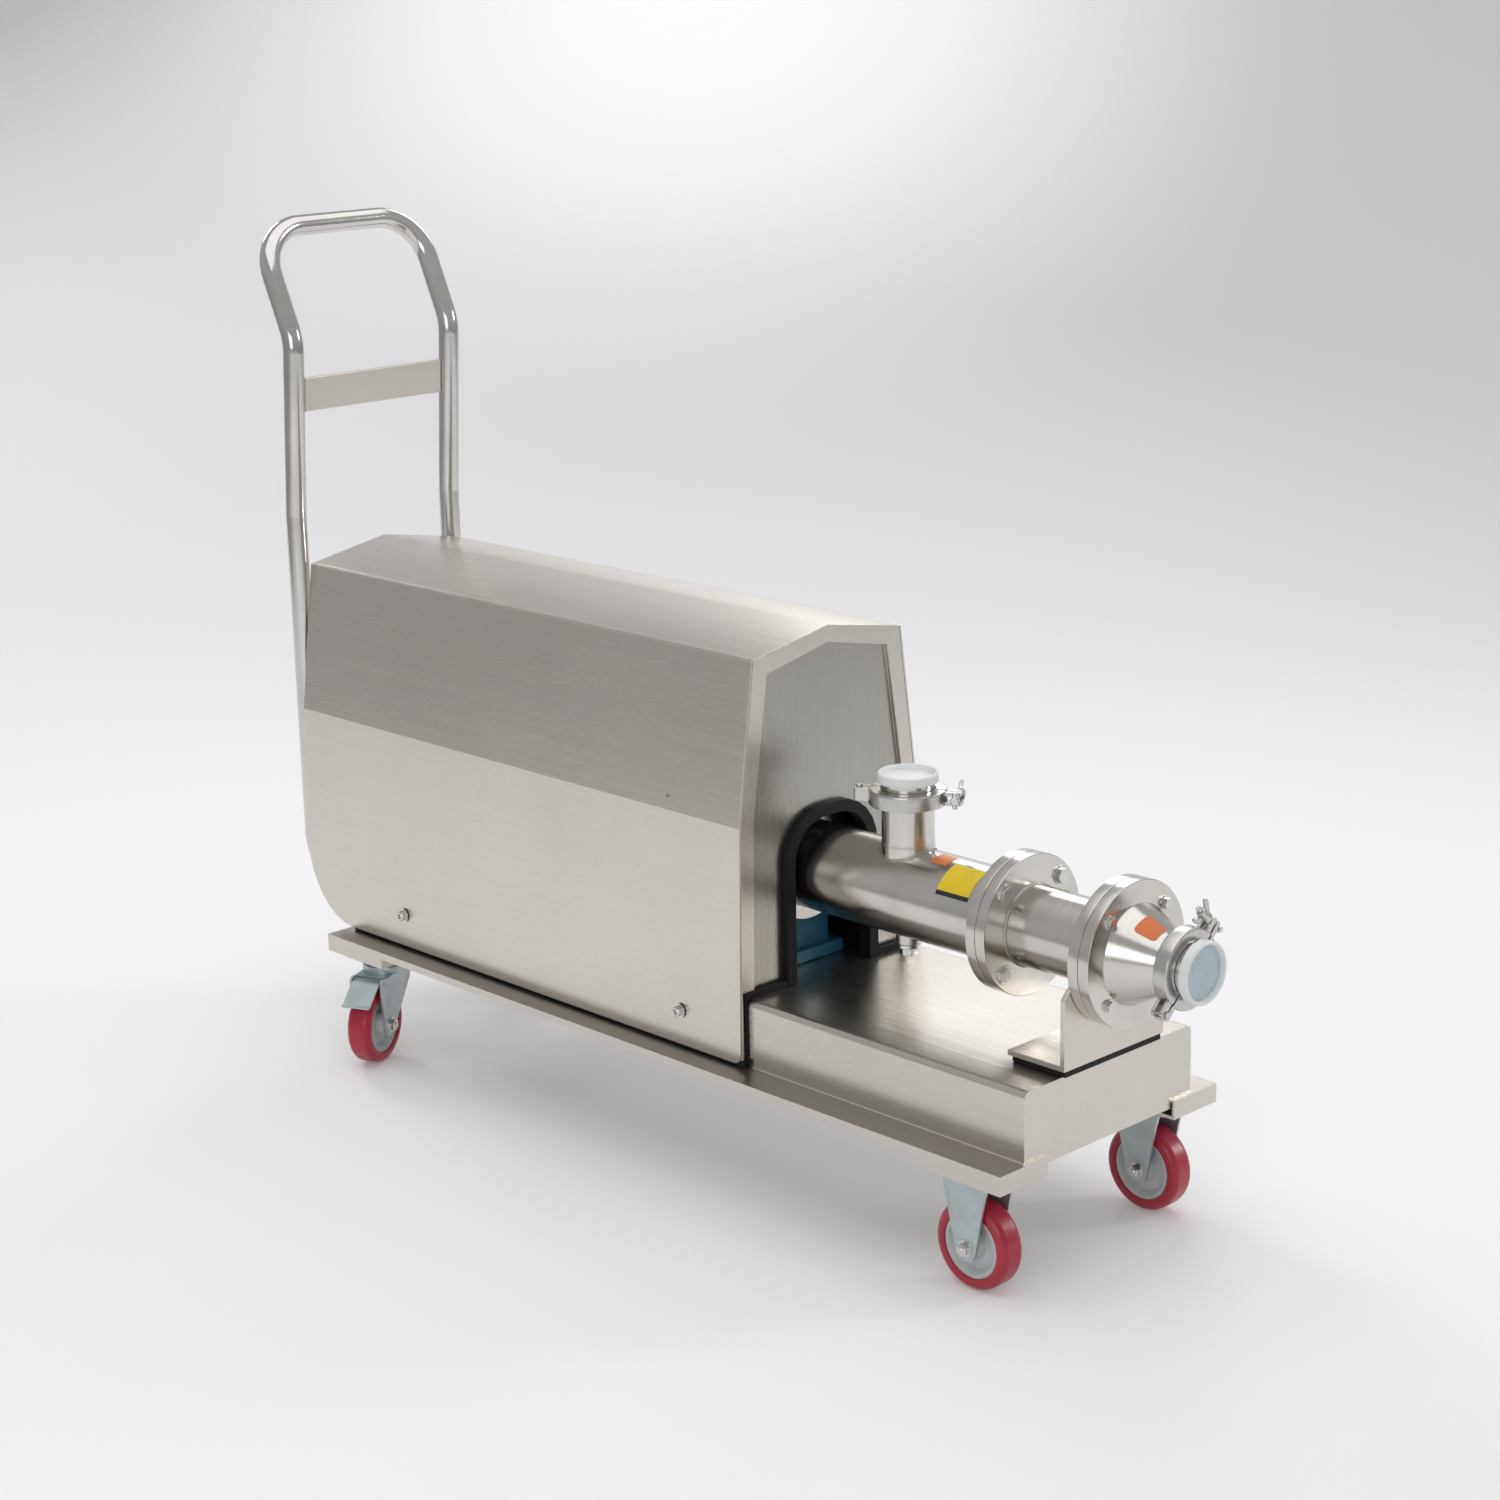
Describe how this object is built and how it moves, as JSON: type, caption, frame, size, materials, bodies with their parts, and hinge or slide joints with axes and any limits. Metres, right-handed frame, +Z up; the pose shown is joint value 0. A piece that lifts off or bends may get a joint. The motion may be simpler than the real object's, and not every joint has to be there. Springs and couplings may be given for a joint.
{
  "type": "progressive cavity pump",
  "caption": "Hygienic progressive cavity pump on a four-caster steel trolley, with a folded hood over its gear motor, clamped ports and a push handle.",
  "frame": {"origin": "on the floor under the middle of the whole object's bounding box", "axes": "+X towards the discharge port, +Y to the far side of the picture, +Z up"},
  "size_m": [1.4239, 0.4072, 1.0531],
  "materials": {
    "brushed": "brushed stainless steel, grain along the sheet",
    "polished": "polished stainless steel",
    "zinc": "zinc-plated pressed steel, blue-grey",
    "tyre": "dark red polyurethane",
    "core": "light grey moulded core",
    "rubber": "black rubber",
    "cap": "white translucent cap",
    "blue": "blue machine paint",
    "seal": "off-white sealing material",
    "steel": "turned steel"
  },
  "bodies": {
    "trolley": {"base_tray": "brushed", "handle_tube": "polished", "handle_crossbar": "brushed", "hood": "brushed", "hood_rubber": "rubber", "side_panel_near": "brushed", "side_panel_far": "brushed", "panel_screw_near_1": "polished", "panel_screw_near_2": "polished", "panel_screw_far_1": "polished", "panel_screw_far_2": "polished", "fork_front_near": "zinc", "fork_front_far": "zinc", "plate_rear_near": "zinc", "plate_rear_far": "zinc", "suction_casing": "polished", "drain_plug": "polished", "stator_tube": "polished", "stator_rubber": "rubber", "discharge_cone": "polished", "support_bracket": "brushed", "bracket_pad_rubber": "rubber", "gasket_inlet": "seal", "stub_inlet": "polished", "clamp_inlet_front": "polished", "clamp_inlet_back": "polished", "swing_bolt_inlet": "polished", "cap_inlet": "cap", "gasket_outlet": "seal", "stub_outlet": "polished", "clamp_outlet_front": "polished", "clamp_outlet_back": "polished", "swing_bolt_outlet": "polished", "cap_outlet": "cap", "gear_unit": "blue", "bearing_bracket": "blue", "motor_frame": "blue", "terminal_box": "blue", "fan_cowl": "blue", "seal_ring_fixed": "seal"},
    "wheel_front_near": {"core_front_near": "core", "tyre_front_near": "tyre"},
    "wheel_front_far": {"core_front_far": "core", "tyre_front_far": "tyre"},
    "swivel_near": {"fork_rear_near": "zinc"},
    "swivel_far": {"fork_rear_far": "zinc"},
    "wheel_rear_near": {"core_rear_near": "core", "tyre_rear_near": "tyre"},
    "wheel_rear_far": {"core_rear_far": "core", "tyre_rear_far": "tyre"},
    "brake_near": {"brake_pedal_near": "zinc"},
    "brake_far": {"brake_pedal_far": "zinc"},
    "motor_rotor": {"motor_shaft": "steel"},
    "drive_line": {"drive_shaft": "steel", "seal_ring_rotating": "steel"},
    "rotor_orbit": {"joint_sleeve": "rubber"},
    "rotor": {"rotor": "polished"},
    "rod": {"connecting_rod": "polished"},
    "nut_inlet": {"wing_nut_inlet": "polished"},
    "nut_outlet": {"wing_nut_outlet": "polished"}
  },
  "joints": [
    {"name": "front_near_wheel_spin", "type": "hinge", "parent": "trolley", "child": "wheel_front_near", "pos_m": [0.52965, -0.11843, 0.05], "axis": [0, 1, 0], "continuous": true},
    {"name": "front_far_wheel_spin", "type": "hinge", "parent": "trolley", "child": "wheel_front_far", "pos_m": [0.52965, 0.16557, 0.05], "axis": [0, 1, 0], "continuous": true},
    {"name": "rear_near_swivel", "type": "hinge", "parent": "trolley", "child": "swivel_near", "pos_m": [-0.49135, -0.11843, 0.131], "axis": [0, 0, 1], "continuous": true},
    {"name": "rear_near_wheel_spin", "type": "hinge", "parent": "swivel_near", "child": "wheel_rear_near", "pos_m": [-0.47698, -0.14924, 0.05], "axis": [0.9063, 0.4226, 0], "continuous": true},
    {"name": "rear_near_brake", "type": "hinge", "parent": "swivel_near", "child": "brake_near", "pos_m": [-0.47191, -0.16012, 0.108], "axis": [0.9063, 0.4226, 0], "range_deg": [0, 12]},
    {"name": "rear_far_swivel", "type": "hinge", "parent": "trolley", "child": "swivel_far", "pos_m": [-0.49135, 0.16557, 0.131], "axis": [0, 0, 1], "continuous": true},
    {"name": "rear_far_wheel_spin", "type": "hinge", "parent": "swivel_far", "child": "wheel_rear_far", "pos_m": [-0.52483, 0.17148, 0.05], "axis": [-0.1736, -0.9848, 0], "continuous": true},
    {"name": "rear_far_brake", "type": "hinge", "parent": "swivel_far", "child": "brake_far", "pos_m": [-0.53665, 0.17356, 0.108], "axis": [-0.1736, -0.9848, 0], "range_deg": [0, 12]},
    {"name": "motor_spin", "type": "hinge", "parent": "trolley", "child": "motor_rotor", "pos_m": [-0.16335, 0.02357, 0.3554], "axis": [1, 0, 0], "continuous": true},
    {"name": "shaft_spin", "type": "hinge", "parent": "trolley", "child": "drive_line", "pos_m": [-0.01335, 0.02357, 0.3554], "axis": [1, 0, 0], "continuous": true},
    {"name": "rotor_orbit", "type": "hinge", "parent": "trolley", "child": "rotor_orbit", "pos_m": [0.42665, 0.02357, 0.3554], "axis": [1, 0, 0], "continuous": true},
    {"name": "rotor_spin", "type": "hinge", "parent": "rotor_orbit", "child": "rotor", "pos_m": [0.42665, 0.02857, 0.3554], "axis": [1, 0, 0], "continuous": true},
    {"name": "rod_spin", "type": "hinge", "parent": "rotor_orbit", "child": "rod", "pos_m": [0.42665, 0.02857, 0.3554], "axis": [0.9997, 0.0238, 0], "continuous": true},
    {"name": "inlet_wing_nut_spin", "type": "hinge", "parent": "trolley", "child": "nut_inlet", "pos_m": [0.34181, 0.05808, 0.465], "axis": [-0.5, 0.866, 0], "continuous": true},
    {"name": "outlet_wing_nut_spin", "type": "hinge", "parent": "trolley", "child": "nut_outlet", "pos_m": [0.68475, 0.0573, 0.40016], "axis": [0, -0.7071, 0.7071], "continuous": true}
  ],
  "couplings": [
    {"joint": "shaft_spin", "follows": "motor_spin", "ratio": 0.2},
    {"joint": "rotor_orbit", "follows": "motor_spin", "ratio": -0.2},
    {"joint": "rotor_spin", "follows": "motor_spin", "ratio": 0.4},
    {"joint": "rod_spin", "follows": "motor_spin", "ratio": 0.4}
  ]
}
